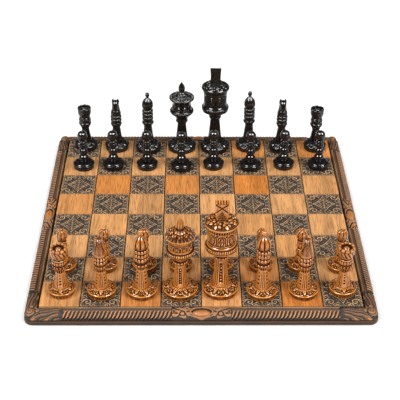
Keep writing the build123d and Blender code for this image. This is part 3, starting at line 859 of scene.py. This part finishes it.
def cartouches():
    """The four mid-side carvings and their cabochons."""
    low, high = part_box("cartouche_front")
    half = (high[0] - low[0]) / 2 / MM
    oval = (10.7, 5.1)
    stone_low, stone_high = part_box("cabochons")
    ring_middle = -stone_low[1] / MM - CABOCHON_HALF
    shape = slab(*cartouche_relief(half, OUTLINE - ring_middle, oval), SHELF)
    material = carved_walnut("carved_cartouche", 1.0)
    polished = cabochon_wood()
    jewel = dome((0, -ring_middle), oval[0], oval[1], SHELF + 2, stone_high[2] / MM)
    for (node, place), side in zip(quarter_turns("cartouche", SIDES), SIDES):
        add_carving(node, shape, material, place)
        stone = f"cabochon_{side}"
        add_piece(stone, new_mesh(stone, jewel, polished), "board", "cabochons", place)


# ---- materials

class Shader:
    """A node tree under construction, with short ways to add and join nodes."""

    def __init__(self, owner, surface):
        owner.use_nodes = True
        self.owner = owner
        self.tree = owner.node_tree
        self.surface = self.tree.nodes[surface]

    def node(self, kind, settings=None, **inputs):
        """Add a node, set its settings, and fill or link its inputs by name."""
        made = self.tree.nodes.new(kind)
        for key, value in (settings or {}).items():
            setattr(made, key, value)
        for key, value in inputs.items():
            self.put(made.inputs[key.replace("_", " ")], value)
        return made

    def put(self, socket, value):
        """Give a socket a number or colour, or link it."""
        if isinstance(value, bpy.types.NodeSocket):
            self.tree.links.new(value, socket)
        else:
            socket.default_value = value

    def place(self, scale):
        """Object coordinates stretched by a scale along each axis."""
        coordinates = self.node("ShaderNodeTexCoord")
        stretch = self.node("ShaderNodeMapping", Vector=coordinates.outputs["Object"], Scale=scale)
        return stretch.outputs["Vector"]

    def noise(self, size, detail, vector=None, roughness=0.6, distortion=0.0):
        """Noise value, in object coordinates unless others are given."""
        vector = vector or self.place((1, 1, 1))
        return self.node("ShaderNodeTexNoise", Vector=vector, Scale=size, Detail=detail,
                         Roughness=roughness, Distortion=distortion).outputs["Fac"]

    def ramp(self, value, stops):
        """Colour ramp over a value; stops are (position, colour or grey)."""
        made = self.node("ShaderNodeValToRGB", Fac=value)
        ends = made.color_ramp.elements
        for index, (position, colour) in enumerate(stops):
            stop = ends[index] if index < 2 else ends.new(position)
            stop.position = position
            stop.color = (*colour, 1) if isinstance(colour, tuple) else (colour, colour, colour, 1)
        return made.outputs["Color"]

    def mix(self, factor, first, second, mode="MIX"):
        """Blend two colours."""
        made = self.node("ShaderNodeMix", {"data_type": "RGBA", "blend_type": mode})
        for socket, value in ((made.inputs[0], factor), (made.inputs[6], first), (made.inputs[7], second)):
            self.put(socket, (*value, 1) if isinstance(value, tuple) and len(value) == 3 else value)
        return made.outputs[2]

    def math(self, kind, *values, node="ShaderNodeMath"):
        """Arithmetic on values."""
        made = self.node(node, {"operation": kind})
        for socket, value in zip(made.inputs, values):
            self.put(socket, value)
        return made.outputs[0]

    def vectors(self, kind, *values):
        """Arithmetic on vectors."""
        return self.math(kind, *values, node="ShaderNodeVectorMath")

    def cavity(self):
        """How dark a point is marked: carved recesses, and painted shade where a shape marks it."""
        return self.node("ShaderNodeAttribute", {"attribute_name": "cavity"}).outputs["Fac"]

    def crease_shade_and_edge_light(self, colour, strength):
        """Painted shade: darker along inner angles; painted highlight: lighter and a little bluer along
        raised edges.
        """
        turn = self.node("ShaderNodeNewGeometry").outputs["Pointiness"]
        shade = self.ramp(turn, ((0.40, (0.18, 0.10, 0.07)), (0.50, 1),
                                 (0.58, (strength, strength * 1.05, strength * 1.15))))
        return self.mix(1.0, colour, shade, "MULTIPLY")

    def bump(self, height, strength, distance):
        """Small surface relief."""
        made = self.node("ShaderNodeBump", Strength=strength, Distance=distance, Height=height)
        self.put(self.surface.inputs["Normal"], made.outputs["Normal"])

    def finish(self, colour, roughness, **fixed):
        """Connect colour and roughness; set the values that are the same all over."""
        self.put(self.surface.inputs["Base Color"], colour)
        self.put(self.surface.inputs["Roughness"], roughness)
        for key, value in fixed.items():
            self.surface.inputs[key.replace("_", " ")].default_value = value
        return self.owner


def new_look(name):
    """Material to be filled in."""
    return Shader(bpy.data.materials.new(name), "Principled BSDF")


def honey_resin():
    """Polished honey-brown with red-brown colour rubbed into the carving; the same recess colour also
    paints the shade that the cavity values mark.
    """
    look = new_look("honey_resin")
    cloud = look.noise(70.0, 3.0, look.place((1, 1, 0.5)))
    fine = look.noise(500.0, 3.0, look.place((1, 1, 0.35)))
    body = look.ramp(cloud, ((0.30, (0.34, 0.092, 0.010)), (0.52, (0.52, 0.170, 0.019)),
                             (0.74, (0.68, 0.28, 0.050))))
    body = look.mix(0.35, body, look.ramp(fine, ((0.35, (0.26, 0.07, 0.010)), (0.7, (0.64, 0.26, 0.05)))))
    depth = look.cavity()
    # Recess colour: red-brown rubbed into the carving, plus painted shade where the cavity values hold it,
    # as inside the rook's crown.
    stain_and_shade = look.ramp(depth, ((0.0, 0), (0.20, 0.5), (0.50, 1)))
    # The body colour gets painted shade in inner angles and a painted highlight on raised edges.
    colour = look.mix(look.math("MULTIPLY", stain_and_shade, 0.97), look.crease_shade_and_edge_light(body, 1.8),
                      (0.040, 0.009, 0.003))
    rough = look.math("MULTIPLY_ADD", depth, 0.45, look.math("MULTIPLY_ADD", fine, 0.12, 0.10))
    look.put(look.surface.inputs["Coat Weight"], look.math("MULTIPLY_ADD", stain_and_shade, -0.65, 0.7))
    look.put(look.surface.inputs["Specular IOR Level"], look.math("MULTIPLY_ADD", stain_and_shade, -0.40, 0.45))
    look.bump(fine, 0.14, 0.0004)
    return look.finish(colour, rough, Coat_Roughness=0.10, IOR=1.5)


def black_resin():
    """Polished near-black with a warm tint and slightly duller recesses."""
    look = new_look("black_resin")
    cloud = look.noise(90.0, 3.0)
    fine = look.noise(600.0, 2.0)
    body = look.ramp(cloud, ((0.35, (0.005, 0.004, 0.0035)), (0.7, (0.013, 0.009, 0.007))))
    depth = look.cavity()
    colour = look.mix(look.math("MULTIPLY", depth, 0.8), body, (0.003, 0.002, 0.002))
    rough = look.math("MULTIPLY_ADD", depth, 0.12, look.math("MULTIPLY_ADD", cloud, 0.14, 0.05))
    look.bump(fine, 0.03, 0.0003)
    return look.finish(colour, rough, Specular_IOR_Level=0.5, IOR=1.5)


def carved_walnut(name, darkness, rubbed=(0.50, 0.195, 0.055)):
    """Dark stained carving: grey-brown in the recesses, tan where the dark colour is rubbed off; where the
    cavity values hold painted shade, the recess colour paints that shade too.
    """
    look = new_look(name)
    cloud = look.noise(45.0, 4.0)
    grain = look.noise(900.0, 3.0)
    red, green, blue = rubbed
    high = look.ramp(cloud, ((0.30, (0.55 * red, 0.60 * green, 0.70 * blue)), (0.55, rubbed),
                             (0.75, (1.3 * red, 1.1 * green, 0.8 * blue))))
    high = look.mix(0.3, high, look.ramp(grain, ((0.35, (0.10, 0.075, 0.055)), (0.65, (0.44, 0.28, 0.16)))))
    # The rubbed colour gets painted shade in inner angles and a painted highlight on raised edges.
    high = look.mix(1.0, look.crease_shade_and_edge_light(high, 1.35), (darkness, darkness, darkness), "MULTIPLY")
    low = look.ramp(grain, ((0.3, (0.020, 0.014, 0.010)), (0.7, (0.070, 0.050, 0.036))))
    depth = look.math("MULTIPLY_ADD", grain, 0.35, look.math("ADD", look.cavity(), -0.17))
    # Recess colour: real dark colour in the carving, plus painted shade where the cavity values mark it, as
    # under the gadroon round.
    recess_stain_and_shade = look.ramp(depth, ((0.02, 0), (0.30, 0.7), (0.60, 1)))
    colour = look.mix(recess_stain_and_shade, high, low)
    rough = look.math("MULTIPLY_ADD", grain, 0.25, 0.40)
    look.bump(grain, 0.25, 0.0006)
    return look.finish(colour, rough, Specular_IOR_Level=0.22)


def board_wood(name, tints, grain_axis, contrast):
    """Oiled wood with long pores; each square or strip has its own tint."""
    look = new_look(name)
    stretch = (40.0, 2.2, 40.0) if grain_axis == "Y" else (2.2, 40.0, 40.0)
    coordinates = look.node("ShaderNodeTexCoord").outputs["Object"]
    moved = look.vectors("MULTIPLY_ADD", coordinates, (1 / SQUARE, 1 / SQUARE, 0), (8, 8, 0))
    tile = look.vectors("FLOOR", moved)
    chance = look.node("ShaderNodeTexWhiteNoise", {"noise_dimensions": "2D"}, Vector=tile)
    shifted = look.vectors("MULTIPLY_ADD", chance.outputs["Color"], (0.5, 0.5, 0.5), coordinates)
    where = look.node("ShaderNodeMapping", Vector=shifted, Scale=stretch).outputs["Vector"]
    figure = look.noise(2.6, 5.0, where, 0.62, 0.4)
    pores = look.noise(26.0, 2.0, where, 0.5)
    tint = look.ramp(chance.outputs["Value"], tints)
    light = look.ramp(figure, ((0.25, 1 - contrast), (0.75, (1.12, 1.10, 1.08))))
    colour = look.mix(1.0, tint, light, "MULTIPLY")
    lines = look.ramp(pores, ((0.36, (0.50, 0.42, 0.36)), (0.50, 1)))
    colour = look.mix(0.8, colour, look.mix(1.0, colour, lines, "MULTIPLY"))
    rough = look.math("MULTIPLY_ADD", pores, -0.2, 0.55)
    look.bump(pores, 0.18, 0.0004)
    return look.finish(colour, rough, Specular_IOR_Level=0.22)


def cabochon_wood():
    """Polished orange-brown boss with fine grain."""
    look = new_look("cabochon_wood")
    grain = look.noise(3.0, 4.0, look.place((14, 90, 90)))
    colour = look.ramp(grain, ((0.3, (0.30, 0.10, 0.02)), (0.55, (0.50, 0.18, 0.035)),
                               (0.75, (0.62, 0.26, 0.07))))
    rough = look.math("MULTIPLY_ADD", grain, 0.15, 0.38)
    look.bump(grain, 0.10, 0.0003)
    return look.finish(colour, rough, Specular_IOR_Level=0.4)


def baize_cloth():
    """Short felted nap."""
    look = new_look("baize")
    nap = look.noise(1500.0, 3.0)
    colour = look.ramp(nap, ((0.3, (0.010, 0.045, 0.022)), (0.7, (0.030, 0.095, 0.048))))
    look.bump(nap, 0.5, 0.0006)
    rough = look.math("MULTIPLY_ADD", nap, 0.1, 0.85)
    return look.finish(colour, rough, Sheen_Weight=0.4, Sheen_Roughness=0.5)


def zinc_steel():
    """Dull plated steel."""
    look = new_look("zinc_steel")
    spots = look.noise(900.0, 3.0)
    colour = look.ramp(spots, ((0.3, (0.42, 0.42, 0.40)), (0.7, (0.60, 0.60, 0.58))))
    rough = look.math("MULTIPLY_ADD", spots, 0.2, 0.30)
    return look.finish(colour, rough, Metallic=1.0)


def dress(node, material):
    """Give a CAD node its finished material."""
    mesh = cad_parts[node].data
    mesh.materials.clear()
    mesh.materials.append(material)


def cad_materials():
    """Materials of the CAD pieces that show as they are."""
    light = board_wood("light_squares_wood", (
        (0.0, (0.78, 0.375, 0.130)), (0.35, (0.82, 0.415, 0.160)), (0.6, (0.85, 0.440, 0.175)),
        (0.85, (0.78, 0.275, 0.050)), (1.0, (0.81, 0.385, 0.135))), "Y", 0.52)
    plinth = carved_walnut("plinth_walnut", 0.12)
    fillet = board_wood("fillet_wood", (
        (0.0, (0.30, 0.165, 0.075)), (0.5, (0.40, 0.215, 0.095)), (1.0, (0.34, 0.20, 0.10))), "X", 0.35)
    plain = board_wood("plywood", (
        (0.0, (0.50, 0.34, 0.18)), (1.0, (0.55, 0.38, 0.21))), "X", 0.2)
    dress("light_squares", light)
    dress("fillet_strips", fillet)
    for side in SIDES:
        dress(f"rail_{side}", plinth)
    for node in ("backing_board", "mitre_splines"):
        dress(node, plain)
    dress("core_panel", carved_walnut("core_stain", 0.12))
    dress("baize", baize_cloth())
    dress("screws", zinc_steel())


# ---- floor, light and camera

def pale_floor():
    """Plain pale floor under the board."""
    reach = 6.0
    mesh = bpy.data.meshes.new("floor")
    square = [(-reach, -reach, 0), (reach, -reach, 0), (reach, reach, 0), (-reach, reach, 0)]
    mesh.from_pydata(square, [], [(0, 1, 2, 3)])
    ground = add_object("floor", mesh)
    look = new_look("floor")
    speckle = look.noise(4.0, 2.0)
    colour = look.ramp(speckle, ((0.2, 0.93), (0.8, 0.95)))
    mesh.materials.append(look.finish(colour, 0.8, Specular_IOR_Level=0.1, Emission_Color=(1, 1, 1, 1),
                                      Emission_Strength=0.14))


def sun(name, azimuth, elevation, strength, glint):
    """Broad soft light from one side, azimuth from the front; a glint only shows in reflections."""
    lamp = bpy.data.lights.new(name, "SUN")
    lamp.energy = strength
    lamp.angle = SUN_ANGLE
    light = add_object(name, lamp)
    light.visible_diffuse = not glint
    turn, rise = radians(azimuth), radians(elevation)
    towards = Vector((sin(turn) * cos(rise), -cos(turn) * cos(rise), sin(rise)))
    light.rotation_euler = towards.to_track_quat("Z", "Y").to_euler()


def lights():
    """Soft light from upper left and upper right, in a pale surround that mirrors little."""
    diffuse_strength, glossy_strength = 0.42, 0.10
    elevation, sun_strength, glint_strength = 50, 1.75, 4.0
    world = bpy.data.worlds.new("studio")
    bpy.context.scene.world = world
    look = Shader(world, "Background")
    rays = look.node("ShaderNodeLightPath").outputs
    dimmed = look.node("ShaderNodeMapRange", Value=rays["Is Glossy Ray"], To_Min=diffuse_strength,
                       To_Max=glossy_strength)
    shown = look.math("MAXIMUM", dimmed.outputs["Result"], rays["Is Camera Ray"])
    look.put(look.surface.inputs["Color"], (1, 1, 1, 1))
    look.put(look.surface.inputs["Strength"], shown)
    for kind, strength in (("light", sun_strength), ("glint", glint_strength)):
        for side, azimuth in (("left", -55), ("right", 55)):
            sun(f"{kind}_{side}", azimuth, elevation, strength, kind == "glint")


def camera():
    """Camera at the height and distance from which the set is seen."""
    azimuth, elevation, roll = radians(-0.79), radians(33.89), radians(0.47)
    distance = 29.0 * SQUARE
    target = Vector((0.006 * SQUARE, 0.680 * SQUARE, FIELD_TOP))
    back = Vector((sin(azimuth) * cos(elevation), -cos(azimuth) * cos(elevation), sin(elevation)))
    right = Vector((cos(azimuth), sin(azimuth), 0))
    up = back.cross(right)
    tilted_right = right * cos(roll) + up * sin(roll)
    tilted_up = up * cos(roll) - right * sin(roll)
    lens = bpy.data.cameras.new("camera")
    lens.lens = 92.1
    lens.sensor_width = 36.0
    view = add_object("camera", lens)
    turn = Matrix((tilted_right, tilted_up, back)).transposed().to_4x4()
    view.matrix_world = Matrix.Translation(target + back * distance) @ turn
    bpy.context.scene.camera = view
    bpy.context.scene.view_settings.view_transform = "Standard"


camera()
lights()
pale_floor()
cad_materials()
dark_squares()
gadroons()
corners()
cartouches()
men()
